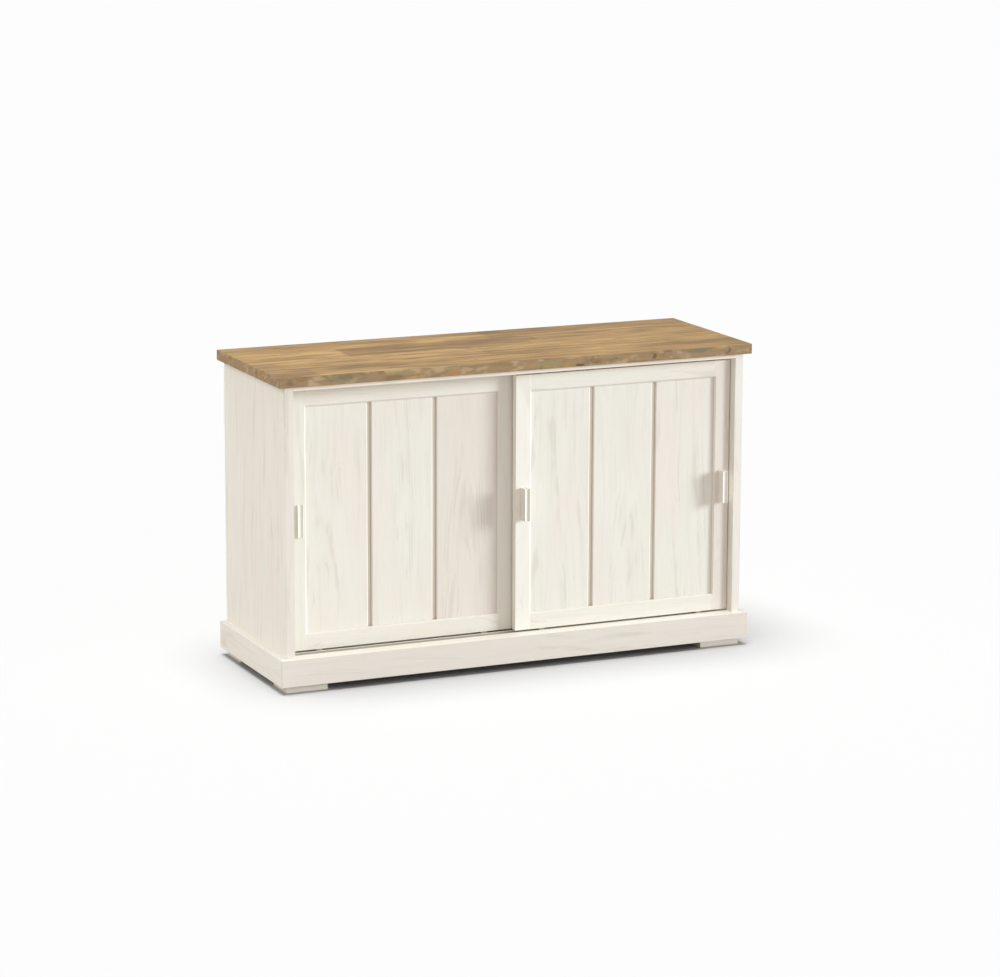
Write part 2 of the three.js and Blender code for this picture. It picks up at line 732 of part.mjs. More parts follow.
// One sliding door as a group. `handles` lists its handles as [name, x, reach, flute depth].
function door(name, left, face, handles) {
    const group = new THREE.Group();
    const gearPlaces = [['left', GEAR_INSET], ['right', doorWidth - GEAR_INSET]];
    const rollerPockets = gearPlaces.map(([, x]) => (
        pocket(x, HOUSING_LENGTH, HOUSING_WIDTH, -1, HOUSING_TOP + FIT)
    ));
    const guidePockets = gearPlaces.map(([, x]) => (
        pocket(x, GUIDE_LENGTH, GUIDE_WIDTH, doorHeight - GUIDE_DEPTH - FIT, doorHeight + 1)
    ));
    group.add(stile(`${name}_stile_left`, false));
    group.add(stile(`${name}_stile_right`, true));
    group.add(doorRail(`${name}_rail_top`, true, guidePockets));
    group.add(doorRail(`${name}_rail_bottom`, false, rollerPockets));
    group.add(...planks(name));
    for (const [place, x, reach, fluteDepth] of handles) {
        group.add(handle(`${name}_${place}`, x, reach, fluteDepth));
    }
    for (const [place, x] of gearPlaces) {
        group.add(rollerHousing(`${name}_roller_housing_${place}`, x));
        group.add(wheel(`${name}_wheel_${place}`, x));
        group.add(topGuide(`${name}_top_guide_${place}`, x));
    }
    group.position.set(left, face, doorBottom);
    return group;
}

function frontDoor() {
    return door('front_door', frontDoorLeft, frontDoorFace, [
        ['handle_left', HANDLE_INSET, HANDLE_REACH, HANDLE_FLUTE_DEPTH],
        ['handle_right', doorWidth - HANDLE_INSET, HANDLE_REACH, HANDLE_FLUTE_DEPTH],
    ]);
}

// The rear door's pull is cut low, so that it passes behind the front door.
function rearDoor() {
    return door('rear_door', rearDoorLeft, rearDoorFace, [
        ['pull', PULL_INSET, DOOR_SPACING - PULL_CLEARANCE, PULL_FLUTE_DEPTH],
    ]);
}

// ---------------------------------------------------------------- the sideboard

const sideboard = new THREE.Group();
sideboard.add(topPanel());
sideboard.add(sidePanel('side_panel_left', -1));
sideboard.add(sidePanel('side_panel_right', 1));
sideboard.add(bottomPanel());
sideboard.add(backPanel());
sideboard.add(centrePartition());
sideboard.add(...topRails());
sideboard.add(...doorStops());
sideboard.add(...plinth());
sideboard.add(...feet());
sideboard.add(...shelves());
sideboard.add(lowerTrack('lower_track_front', trackMiddles[0]));
sideboard.add(lowerTrack('lower_track_rear', trackMiddles[1]));
sideboard.add(upperTrack());
sideboard.add(frontDoor());
sideboard.add(rearDoor());

export default sideboard;
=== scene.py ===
"""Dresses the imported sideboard: eased boards, an oak top of staves, whitewashed doors and a plain studio."""

import logging
import math
import random
from collections.abc import Callable, Sequence
from dataclasses import dataclass
from enum import Enum, IntEnum

import bpy
from bpy.types import Collection, Material, MeshPolygon, Node, NodeSocket, NodeTree, Object
from mathutils import Matrix, Vector


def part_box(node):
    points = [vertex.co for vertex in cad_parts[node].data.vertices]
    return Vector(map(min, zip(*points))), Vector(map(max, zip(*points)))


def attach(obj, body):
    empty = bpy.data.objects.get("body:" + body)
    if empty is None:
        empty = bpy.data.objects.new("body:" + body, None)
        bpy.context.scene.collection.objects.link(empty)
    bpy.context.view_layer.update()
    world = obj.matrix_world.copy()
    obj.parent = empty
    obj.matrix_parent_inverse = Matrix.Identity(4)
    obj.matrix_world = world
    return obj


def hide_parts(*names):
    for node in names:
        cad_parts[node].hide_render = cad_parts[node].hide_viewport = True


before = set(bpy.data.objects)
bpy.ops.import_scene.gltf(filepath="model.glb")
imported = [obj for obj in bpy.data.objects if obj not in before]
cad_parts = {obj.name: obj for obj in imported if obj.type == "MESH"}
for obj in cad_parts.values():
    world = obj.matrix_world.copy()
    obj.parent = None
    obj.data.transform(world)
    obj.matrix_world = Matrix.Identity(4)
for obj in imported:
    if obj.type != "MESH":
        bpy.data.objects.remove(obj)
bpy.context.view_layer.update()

logging.basicConfig(level=logging.INFO, format="%(message)s")
log = logging.getLogger("sideboard")

MM = 0.001
WELD = 0.00001  # metres; vertices nearer than this become one
FLUSH_WITHIN = 0.5  # degrees; faces that meet flatter than this become one
SMOOTH_BELOW = 50.0  # degrees; edges blunter than this are shaded smooth
FACING = 0.9  # how much of a face's normal lies along an axis when the face looks that way
FINE_SHARE = 0.55  # how strongly each finer layer of a noise shows

HEART = "heart"  # vector on each board: where the middle of its log lies
TONE = "tone"  # number on each stave of the top, from light to dark
EDGE_SHADE_AND_STAIN = "weather"  # number on each face of the top: 1 on its upright sawn edges, which take a grey of painted shade and stain patches

# how far a log's heart may lie from the middle of a board, so that no two boards show the same wood
HEART_ASIDE = (-0.45, 0.45)  # across its face, as a share of its width
HEART_BEHIND = (0.75, 1.3)  # through its thickness, as a share of the distance that the board asks for
HEART_ALONG = (-3.0, 3.0)  # along its grain, in metres

# boards lit by the side key; the first casts no shadow of the key
SIDE_LIT: tuple[str, ...] = (
    "side_panel_right",
    "plinth_right",
    "foot_front_right",
    "foot_back_right",
    "front_door_stile_right",
    "centre_partition",
    "side_panel_left",
    "stop_lath_left",
)


# ---------------------------------------------------------------- small helpers


def linear(hex_code: str) -> tuple[float, float, float, float]:
    """Turns an sRGB hex colour to linear light.

    Args:
        hex_code: Six hex digits.

    Returns:
        Red, green, blue and an alpha of 1.
    """
    channels = [int(hex_code[i : i + 2], 16) / 255 for i in (0, 2, 4)]
    red, green, blue = [c / 12.92 if c <= 0.04045 else ((c + 0.055) / 1.055) ** 2.4 for c in channels]
    return red, green, blue, 1.0


def add_node(
    tree: NodeTree,
    kind: str,
    settings: dict[str, object] | None = None,
    inputs: dict[int | str, object] | None = None,
) -> Node:
    """Adds a node to a tree with its settings and links.

    Args:
        tree: The node tree.
        kind: The node's type, such as Math.
        settings: Its properties by name.
        inputs: Its inputs by name or number: a socket to link, or a value to set.

    Returns:
        The new node.
    """
    node = tree.nodes.new(f"ShaderNode{kind}")
    for name, value in (settings or {}).items():
        setattr(node, name, value)
    for key, value in (inputs or {}).items():
        if isinstance(value, NodeSocket):
            tree.links.new(value, node.inputs[key])
        else:
            node.inputs[key].default_value = value
    return node


def new_material(name: str) -> tuple[Material, NodeTree]:
    """Makes an empty node material.

    Args:
        name: The material's name.

    Returns:
        The material and its cleared node tree.
    """
    material = bpy.data.materials.new(name)
    material.use_nodes = True
    material.node_tree.nodes.clear()
    return material, material.node_tree


# ---------------------------------------------------------------- wood


class Axis(IntEnum):
    """The cabinet's axes: to the right, to the back and up."""

    X = 0
    Y = 1
    Z = 2


class Grain(Enum):
    """Which way a board's grain runs. The value puts the two cross directions first and the grain last."""

    UPRIGHT = (Axis.X, Axis.Y, Axis.Z)
    ACROSS = (Axis.Y, Axis.Z, Axis.X)
    DEEP = (Axis.X, Axis.Z, Axis.Y)


LIES = {Grain.UPRIGHT: "upright", Grain.ACROSS: "lying", Grain.DEEP: "front to back"}


@dataclass(frozen=True)
class Figure:
    """What a wood finish draws its colour from, each socket from 0 to 1, and the board's own coordinates."""

    rings: NodeSocket
    streaks: NodeSocket
    fibres: NodeSocket
    ticks: NodeSocket
    clouds: NodeSocket
    drift: NodeSocket
    place: NodeSocket


@dataclass(frozen=True)
class LogCut:
    """A board sawn from a log: uneven growth rings about its heart, bent as the tree grew, and long fibres.

    The fibres and ticks are drawn about three times as coarse as real ones, to show from some metres away.
    """

    grain: Grain
    ring_mm: float = 24.0
    bend_mm: float = 44.0
    fibre_mm: float = 5.0
    streak_mm: float = 14.0
    tick_mm: float = 4.0
    cloud_mm: float = 120.0
    figured_mm: float = 42.0  # how wide a strongly figured patch is
    taper: float = 0.05  # metres that the rings widen in a metre of the log
    bends: tuple[float, float, float] = (4.5, 4.5, 1.4)  # in a metre, twice across the log and once along it
    line_reach: float = 0.04  # how near its middle a year's noise draws a ring line
    figured: tuple[float, float] = (0.45, 0.66)  # noise where rings and ticks start, and where they are full
    ticked: tuple[float, float] = (0.67, 0.73)  # the same for the ticks alone

    def build(self, tree: NodeTree) -> Figure:
        """Builds the pattern's nodes.

        Args:
            tree: The material's node tree.

        Returns:
            The pattern's sockets.
        """
        place = add_node(tree, "TexCoord").outputs["Object"]
        heart = add_node(tree, "Attribute", {"attribute_name": HEART}).outputs["Vector"]
        local = add_node(tree, "VectorMath", {"operation": "SUBTRACT"}, {0: place, 1: heart})
        parts = add_node(tree, "SeparateXYZ", inputs={0: local.outputs[0]})
        turned = {slot: parts.outputs[axis] for slot, axis in enumerate(self.grain.value)}
        board = add_node(tree, "CombineXYZ", inputs=turned).outputs[0]

        slow = add_node(tree, "VectorMath", {"operation": "MULTIPLY"}, {0: board, 1: self.bends})
        bend = add_node(
            tree,
            "TexNoise",
            inputs={"Vector": slow.outputs[0], "Scale": 1.0, "Detail": 4.0, "Roughness": FINE_SHARE},
        ).outputs["Color"]
        reach = self.bend_mm * MM
        bent = add_node(
            tree, "VectorMath", {"operation": "MULTIPLY_ADD"}, {0: bend, 1: (reach, reach, 0.0), 2: board}
        ).outputs[0]
        cross = add_node(
            tree, "VectorMath", {"operation": "MULTIPLY"}, {0: bent, 1: (1.0, 1.0, 0.0)}
        ).outputs[0]
        radius = add_node(tree, "VectorMath", {"operation": "LENGTH"}, {0: cross}).outputs["Value"]
        along = add_node(tree, "SeparateXYZ", inputs={0: board}).outputs[2]
        cone = add_node(
            tree, "Math", {"operation": "MULTIPLY_ADD"}, {0: along, 1: self.taper, 2: radius}
        ).outputs[0]
        years = add_node(
            tree,
            "TexNoise",
            {"noise_dimensions": "1D"},
            {"W": cone, "Scale": 1000.0 / self.ring_mm, "Detail": 1.0, "Roughness": 0.4},
        ).outputs["Fac"]
        season = add_node(tree, "Math", {"operation": "SUBTRACT"}, {0: years, 1: 0.5}).outputs[0]
        season = add_node(tree, "Math", {"operation": "ABSOLUTE"}, {0: season}).outputs[0]
        line, strength, tick = (
            add_node(
                tree,
                "MapRange",
                {"interpolation_type": "SMOOTHSTEP"},
                {"Value": value, "From Min": low, "From Max": high},
            ).outputs[0]
            for value, (low, high) in (
                (season, (self.line_reach, 0.0)),
                (self.stretched_noise(tree, board, self.figured_mm, stretch=5.0, detail=3.0), self.figured),
                (self.stretched_noise(tree, board, self.tick_mm, stretch=6.0, detail=1.0), self.ticked),
            )
        )
        rings, ticks = (
            add_node(tree, "Math", {"operation": "MULTIPLY"}, {0: drawn, 1: strength}).outputs[0]
            for drawn in (line, tick)
        )
        return Figure(
            rings=rings,
            streaks=self.stretched_noise(tree, bent, self.streak_mm, stretch=20.0, detail=3.0),
            fibres=self.stretched_noise(tree, bent, self.fibre_mm, stretch=24.0, detail=3.0),
            ticks=ticks,
            clouds=self.stretched_noise(tree, board, self.cloud_mm, stretch=3.0, detail=2.0),
            drift=self.stretched_noise(tree, board, self.cloud_mm / 4, stretch=12.0, detail=1.0),
            place=board,
        )

    @staticmethod
    def stretched_noise(
        tree: NodeTree, place: NodeSocket, width_mm: float, stretch: float, detail: float
    ) -> NodeSocket:
        """Noise drawn out along the grain.

        Args:
            tree: The material's node tree.
            place: The board's own coordinates, grain last.
            width_mm: How wide one streak is.
            stretch: How many times longer than wide.
            detail: The noise's detail.

        Returns:
            The noise's value.
        """
        rate = 1.0 / (width_mm * MM)
        scaled = add_node(
            tree, "VectorMath", {"operation": "MULTIPLY"}, {0: place, 1: (rate, rate, rate / stretch)}
        ).outputs[0]
        return add_node(
            tree, "TexNoise", inputs={"Vector": scaled, "Scale": 1.0, "Detail": detail, "Roughness": FINE_SHARE}
        ).outputs["Fac"]


def stain(
    tree: NodeTree,
    ground: NodeSocket | tuple[float, float, float, float],
    colour: str,
    pattern: NodeSocket,
    low: float,
    high: float,
    share: float,
    mask: NodeSocket | None = None,
) -> NodeSocket:
    """Lays a colour over a ground where a pattern shows.

    Args:
        tree: The material's node tree.
        ground: The colour beneath.
        colour: The colour on top, as a hex code.
        pattern: The pattern's value.
        low: The value at which the colour starts to show.
        high: The value at which it is full.
        share: How much of it shows where it is full.
        mask: How much of it may show at each point, from 0 to 1.

    Returns:
        The mixed colour.
    """
    shown = add_node(
        tree,
        "MapRange",
        {"interpolation_type": "SMOOTHSTEP"},
        {"Value": pattern, "From Min": low, "From Max": high, "To Max": share},
    ).outputs[0]
    if mask is not None:
        shown = add_node(tree, "Math", {"operation": "MULTIPLY"}, {0: shown, 1: mask}).outputs[0]
    return add_node(tree, "Mix", {"data_type": "RGBA"}, {0: shown, 6: ground, 7: linear(colour)}).outputs[2]


def lay_surface(
    tree: NodeTree, height: NodeSocket, relief: float, relief_mm: float, looks: dict[str, object]
) -> None:
    """Ends a material with its relief and its shader.

    Args:
        tree: The material's node tree.
        height: The pattern that stands up from the surface.
        relief: How strongly it shows, from 0 to 1.
        relief_mm: How high it stands.
        looks: The shader's inputs by name.
    """
    bump = add_node(
        tree, "Bump", inputs={"Strength": relief, "Distance": relief_mm * MM, "Height": height}
    ).outputs[0]
    shader = add_node(tree, "BsdfPrincipled", inputs={**looks, "Normal": bump}).outputs[0]
    add_node(tree, "OutputMaterial", inputs={"Surface": shader})


@dataclass(frozen=True)
class Whitewash:
    """Softwood brushed and then rubbed with a thin white stain.

    The stain dries matt and fills the soft wood, so the surface looks chalky and even, and the harder grain
    shows through it faintly in warm and grey lines.
    """

    name: str
    grain: Grain
    white: str = "EBE8DE"
    warm: str = "EBE5DB"
    cool: str = "E8E7DB"
    line: str = "CDC5B7"
    contrast: float = 1.0
    roughness: float = 0.6
    ior: float = 1.45
    relief: float = 0.25
    relief_mm: float = 0.4

    def material(self) -> Material:
        """Builds the finish.

        Returns:
            The material.
        """
        material, tree = new_material(self.name)
        figure = LogCut(self.grain).build(tree)
        ground = stain(tree, linear(self.white), self.warm, figure.clouds, low=0.4, high=0.66, share=1.0)
        ground = stain(tree, ground, self.cool, figure.drift, low=0.46, high=0.66, share=0.5)
        # each pattern, where it starts to show, where it is full, and how much it shows there
        for pattern, low, high, share in (
            (figure.streaks, 0.46, 0.74, 0.17),
            (figure.fibres, 0.5, 0.74, 0.12),
            (figure.rings, 0.0, 1.0, 0.38),
            (figure.ticks, 0.0, 1.0, 0.3),
        ):
            ground = stain(tree, ground, self.line, pattern, low, high, share * self.contrast)
        looks = {"Base Color": ground, "Roughness": self.roughness, "IOR": self.ior}
        lay_surface(tree, figure.fibres, self.relief, self.relief_mm, looks)
        return material


@dataclass(frozen=True)
class Blotch:
    """A mark in the oak, such as a knot's shadow, sapwood or mineral stain. Its place and reach are in mm."""

    colour: str
    place: tuple[float, float, float]
    reach: tuple[float, float, float]
    share: float
    core: float = 0.35  # how far out, as a share of its reach, it keeps its full strength

    def lay(self, tree: NodeTree, where: NodeSocket, ground: NodeSocket) -> NodeSocket:
        """Lays the mark over a ground.

        Args:
            tree: The material's node tree.
            where: The surface's coordinates, already wavered so that the mark's outline isn't a plain oval.
            ground: The colour beneath.

        Returns:
            The colour with the mark.
        """
        middle = tuple(value * MM for value in self.place)
        size = tuple(value * MM for value in self.reach)
        offset = add_node(tree, "VectorMath", {"operation": "SUBTRACT"}, {0: where, 1: middle})
        scaled = add_node(tree, "VectorMath", {"operation": "DIVIDE"}, {0: offset.outputs[0], 1: size})
        away = add_node(tree, "VectorMath", {"operation": "LENGTH"}, {0: scaled.outputs[0]})
        return stain(
            tree, ground, self.colour, away.outputs["Value"], low=1.0, high=self.core, share=self.share
        )


@dataclass(frozen=True)
class OakStaves:
    """Planed oak staves under a matt lacquer, each with its own tone; the upright sawn edges take a patchy grey of
    painted shade, and stains.

    The lacquer is thin and flatted, so the top has a low, broad sheen and its figure stays crisp.
    """

    name: str = "lacquered oak staves"
    light: str = "C1A069"
    middle: str = "A48558"
    dark: str = "7C6444"
    line: str = "634C32"
    # the grey is painted shade on the upright sawn edges
    grey: str = "9C8568"
    pale: str = "BEA482"
    mineral: str = "74624A"
    roughness: float = 0.55
    specular: float = 0.1
    relief: float = 0.3
    relief_mm: float = 0.3
    sway: float = 0.25  # how far a stave's tone drifts to either side
    edge_patches: tuple[float, float, float] = (40.0, 40.0, 22.0)  # in a metre, across the grain and along it
    wavers: float = 28.0  # in a metre of a mark's outline
    waver_reach: tuple[float, float, float] = (0.06, 0.008, 0.01)  # metres
    blotches: Sequence[Blotch] = (
        # back row: rosy patches on the left, a pale seam along the right
        Blotch("B5895F", (-470, 190, 922), (110, 50, 60), 0.32),
        Blotch("B5895F", (-190, 215, 922), (90, 35, 60), 0.25),
        Blotch("CDB58C", (430, 151, 922), (400, 7, 60), 0.6),
        # second row: dark mineral streaks after the pale stave
        Blotch("7A5B31", (-340, 100, 922), (150, 22, 60), 0.6),
        Blotch("7A5B31", (-310, 28, 922), (170, 14, 60), 0.7),
        Blotch("8A6A42", (-60, 95, 922), (240, 26, 60), 0.4),
        Blotch("80603A", (290, 122, 922), (330, 9, 60), 0.5),
        # front row: dark seam at its back, orange heartwood on the right
        Blotch("7E5F36", (-30, -136, 922), (230, 9, 60), 0.6),
        Blotch("7E5F36", (-380, -160, 922), (120, 30, 60), 0.4),
        Blotch("AD7F4E", (560, -215, 922), (170, 40, 60), 0.45),
        Blotch("CFAF78", (-500, -246, 922), (240, 14, 60), 0.55),
        # front edge: mineral stain, sapwood and small knots
        Blotch("7F8063", (-540, -260, 908), (90, 20, 22), 0.35),
        Blotch("B9824F", (-218, -260, 900), (24, 20, 12), 0.6),
        Blotch("8F9268", (92, -260, 906), (60, 20, 9), 0.55),
        Blotch("5E4A30", (190, -260, 897), (14, 20, 5), 0.85),
        Blotch("5E4A30", (420, -260, 907), (9, 20, 14), 0.7),
        Blotch("6E6F68", (572, -260, 914), (48, 20, 11), 0.6),
        Blotch("5E4A30", (668, -260, 908), (8, 20, 14), 0.6),
        Blotch("7A6A4A", (-400, -260, 900), (50, 20, 14), 0.6),
    )

    def material(self) -> Material:
        """Builds the finish.

        Returns:
            The material.
        """
        material, tree = new_material(self.name)
        log_cut = LogCut(Grain.ACROSS, ring_mm=14.0, bend_mm=55.0, fibre_mm=4.0, streak_mm=8.0, cloud_mm=70.0)
        figure = log_cut.build(tree)
        colour = self.stave_colour(tree, figure)
        colour = self.edge_shade_and_stains(tree, figure, colour)
        colour = self.marks(tree, colour)
        looks = {"Base Color": colour, "Roughness": self.roughness, "Specular IOR Level": self.specular}
        lay_surface(tree, figure.fibres, self.relief, self.relief_mm, looks)
        return material

    def stave_colour(self, tree: NodeTree, figure: Figure) -> NodeSocket:
        """Colours each stave by its own tone, and draws its figure.

        Args:
            tree: The material's node tree.
            figure: The wood's pattern.

        Returns:
            The colour.
        """
        tone = add_node(tree, "Attribute", {"attribute_name": TONE}).outputs["Fac"]
        sway = add_node(
            tree,
            "MapRange",
            inputs={0: figure.clouds, "From Min": 0.3, "From Max": 0.7, "To Min": -self.sway, "To Max": self.sway},
        ).outputs[0]
        shade = add_node(tree, "Math", {"operation": "ADD", "use_clamp": True}, {0: tone, 1: sway}).outputs[0]
        ramp = add_node(tree, "ValToRGB", inputs={0: shade})
        stops = ramp.color_ramp.elements
        stops[0].color = linear(self.light)
        stops[1].color = linear(self.dark)
        stops.new(0.5).color = linear(self.middle)
        colour = stain(tree, ramp.outputs[0], self.light, figure.drift, low=0.46, high=0.3, share=0.4)
        colour = stain(tree, colour, self.dark, figure.drift, low=0.52, high=0.68, share=0.5)
        # each pattern, where it starts to show, where it is full, and how much it shows there
        for pattern, low, high, share in (
            (figure.streaks, 0.47, 0.72, 0.65),
            (figure.fibres, 0.5, 0.76, 0.3),
            (figure.rings, 0.0, 1.0, 0.4),
            (figure.ticks, 0.0, 1.0, 0.35),
        ):
            colour = stain(tree, colour, self.line, pattern, low, high, share)
        return colour

    def edge_shade_and_stains(self, tree: NodeTree, figure: Figure, ground: NodeSocket) -> NodeSocket:
        """Paints the upright sawn edges in patches: a grey that is painted shade, and pale and mineral stains.

        Args:
            tree: The material's node tree.
            figure: The wood's pattern.
            ground: The colour beneath.

        Returns:
            The colour with the patches.
        """
        weather = add_node(tree, "Attribute", {"attribute_name": EDGE_SHADE_AND_STAIN}).outputs["Fac"]
        edge = add_node(
            tree, "VectorMath", {"operation": "MULTIPLY"}, {0: figure.place, 1: self.edge_patches}
        ).outputs[0]
        # each tint: where its noise is cut, where it starts, where it is full, and how much it shows there
        for cut, low, high, share, tint in (
            # the grey is painted shade; the pale and mineral tints are stains
            (0.0, 0.25, 0.5, 0.75, self.grey),
            (7.0, 0.5, 0.66, 0.7, self.pale),
            (19.0, 0.52, 0.7, 0.6, self.mineral),
        ):
            moved = add_node(tree, "VectorMath", {"operation": "ADD"}, {0: edge, 1: (cut, cut, cut)}).outputs[0]
            patch = add_node(
                tree, "TexNoise", inputs={"Vector": moved, "Scale": 1.0, "Detail": 4.0}
            ).outputs["Fac"]
            ground = stain(tree, ground, tint, patch, low, high, share, weather)
        return ground

    def marks(self, tree: NodeTree, ground: NodeSocket) -> NodeSocket:
        """Lays the marks, their outlines wavering.

        Args:
            tree: The material's node tree.
            ground: The colour beneath.

        Returns:
            The colour with the marks.
        """
        place = add_node(tree, "TexCoord").outputs["Object"]
        waver = add_node(
            tree, "TexNoise", inputs={"Vector": place, "Scale": self.wavers, "Detail": 3.0}
        ).outputs["Color"]
        centred = add_node(
            tree, "VectorMath", {"operation": "SUBTRACT"}, {0: waver, 1: (0.5, 0.5, 0.5)}
        ).outputs[0]
        where = add_node(
            tree, "VectorMath", {"operation": "MULTIPLY_ADD"}, {0: centred, 1: self.waver_reach, 2: place}
        ).outputs[0]
        for blotch in self.blotches:
            ground = blotch.lay(tree, where, ground)
        return ground


# ---------------------------------------------------------------- other finishes


@dataclass(frozen=True)
class Moulded:
    """Extruded or moulded plastic, or plated steel: one colour, with a fine texture from the tool.

    The texture breaks up the highlights. It is drawn about four times as coarse as a real one, to show.
    """

    name: str
    colour: str
    roughness: float
    metallic: float = 0.0
    texture_mm: float = 0.8
    relief: float = 0.15
    relief_mm: float = 0.2

    def material(self) -> Material:
        """Builds the finish.

        Returns:
            The material.
        """
        material, tree = new_material(self.name)
        place = add_node(tree, "TexCoord").outputs["Object"]
        speckle = add_node(
            tree, "TexNoise", inputs={"Vector": place, "Scale": 1.0 / (self.texture_mm * MM), "Detail": 2.0}
        ).outputs["Fac"]
        looks = {"Base Color": linear(self.colour), "Roughness": self.roughness, "Metallic": self.metallic}
        lay_surface(tree, speckle, self.relief, self.relief_mm, looks)
        return material


class Finishes:
    """The sideboard's materials, each made once."""

    def __init__(self) -> None:
        """Makes every material."""
        # sides, planks and laths: stain brushed on and wiped along the grain, which leaves soft streaks
        self.white = {
            grain: Whitewash(f"whitewashed wood, {LIES[grain]}", grain).material() for grain in Grain
        }
        # stiles, rails and handles: sanded finer before the stain, so the grain is fainter
        self.frame = {
            grain: Whitewash(f"whitewashed frame, {LIES[grain]}", grain, contrast=contrast).material()
            for grain, contrast in ((Grain.UPRIGHT, 0.7), (Grain.ACROSS, 0.9))
        }
        # plinth faces: darker and warmer than the other boards
        self.plinth = Whitewash(
            "whitewashed plinth board", Grain.ACROSS, white="E5DED4", warm="E3DBD1", cool="E2DDD2", line="CBC2B5"
        ).material()
        # a stile whiter than the others, its grain nearly closed
        self.thick_stile = Whitewash(
            "thickly whitewashed stile", Grain.UPRIGHT, white="F5F2E9", warm="F3EEE4", cool="F1EFE5", contrast=0.6
        ).material()
        # a warmer, darker whitewash: painted shade on the front door's right stile and the rear door's right
        # plank, which lie in shade; on the left side panel's front edge, that board's own darker tone
        self.thin = Whitewash(
            "thinly whitewashed wood", Grain.UPRIGHT, white="E7DFD5", warm="E5DCD2", cool="E4DED3"
        ).material()
        # the rail under the top: creamy and even, its white raised as painted light against the shade under the
        # top's overhang
        self.top_rail = Whitewash(
            "whitewashed top rail", Grain.ACROSS, white="FBF3E6", warm="F9EFE1", cool="F6EFE2", contrast=0.6
        ).material()
        # feet: duller and warmer, painted shade under the plinth
        self.foot = Whitewash(
            "whitewashed foot block", Grain.ACROSS, white="E2DACD", warm="E1D8C8", cool="DDD7C9", contrast=0.6
        ).material()
        # the bottom panel and the plinth's ledges: whiter, painted light from above
        self.thick = {
            grain: Whitewash(f"thickly whitewashed {what}", grain, *colours, contrast=0.6).material()
            for grain, what, *colours in (
                (Grain.ACROSS, "wood", "FAF7EE", "F8F3E9", "F5F2E8"),
                (Grain.DEEP, "ledge", "EEEDE6", "ECEAE2", "EBEBE4"),
            )
        }
        # plank tongues and the left side panel's outer arris: tan, painted shade deepening the shadow in the
        # joints and on the arris
        self.gap = Whitewash(
            "whitewashed tongue", Grain.UPRIGHT, white="D2C6B8", warm="CDBEAE", cool="CCC4B6", line="B5A795"
        ).material()
        # inside boards: sprayed off-white, so the grain hardly shows
        self.inner = {
            grain: Whitewash(f"off-white board, {LIES[grain]}", grain, contrast=0.6).material()
            for grain in (Grain.UPRIGHT, Grain.ACROSS)
        }
        # the top: planed staves, thinly lacquered
        self.oak = OakStaves().material()
        # tracks: extruded plastic, satin along its whole length
        self.track = Moulded("extruded plastic track", "B6AEA2", 0.45).material()
        self.top_track = Moulded("white extruded plastic track", "F2EADC", 0.45).material()
        # wheels, housings and guides: injection-moulded nylon, smooth and waxy
        self.nylon = Moulded("moulded nylon", "D8D6CF", 0.38).material()
        # shelf pins: turned steel under bright zinc, which gives small blurred highlights
        self.zinc = Moulded("zinc-plated steel", "B9BCC0", 0.32, metallic=1.0, relief=0.05).material()


# ---------------------------------------------------------------- modelling


def deselect_all() -> None:
    """Deselects every object."""
    for item in bpy.context.selected_objects:
        item.select_set(False)


def make_active(piece: Object) -> None:
    """Selects one piece alone and makes it active.

    Args:
        piece: The piece.
    """
    deselect_all()
    piece.select_set(True)
    bpy.context.view_layer.objects.active = piece


def copy_of_node(node: str, name: str) -> Object:
    """Copies a CAD node's mesh to a new piece, welded, with its flat faces whole again.

    Args:
        node: The CAD node.
        name: The new piece's name.

    Returns:
        The new piece, active and alone selected.
    """
    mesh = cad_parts[node].data.copy()
    mesh.name = name
    mesh.materials.clear()
    piece = bpy.data.objects.new(name, mesh)
    bpy.context.scene.collection.objects.link(piece)
    make_active(piece)
    bpy.ops.object.mode_set(mode="EDIT")
    bpy.ops.mesh.select_all(action="SELECT")
    bpy.ops.mesh.remove_doubles(threshold=WELD)
    bpy.ops.mesh.dissolve_limited(angle_limit=math.radians(FLUSH_WITHIN))
    bpy.ops.object.mode_set(mode="OBJECT")
    for layer in list(mesh.uv_layers):
        mesh.uv_layers.remove(layer)
    if mesh.has_custom_normals:
        bpy.ops.mesh.customdata_custom_splitnormals_clear()
    return piece


def ease(piece: Object, radius_mm: float, segments: int = 2, angle: float = 30.0) -> None:
    """Rounds a piece's arrises, as sandpaper does, and smooths its curved faces.

    Args:
        piece: The piece.
        radius_mm: How far the rounding reaches.
        segments: How many facets it has.
        angle: Edges sharper than this many degrees are rounded.
    """
    make_active(piece)
    bevel = piece.modifiers.new("eased arrises", "BEVEL")
    bevel.width = radius_mm * MM
    bevel.segments = segments
    bevel.limit_method = "ANGLE"
    bevel.angle_limit = math.radians(angle)
    bevel.miter_outer = "MITER_ARC"
    bevel.use_clamp_overlap = True
    bpy.ops.object.modifier_apply(modifier=bevel.name)
    bpy.ops.object.shade_smooth_by_angle(angle=math.radians(SMOOTH_BELOW))
    flat = piece.modifiers.new("flat faces stay flat", "WEIGHTED_NORMAL")
    flat.mode = "FACE_AREA"
    flat.weight = 100  # the modifier's most: the largest face at a corner decides alone
    flat.keep_sharp = True
    bpy.ops.object.modifier_apply(modifier=flat.name)


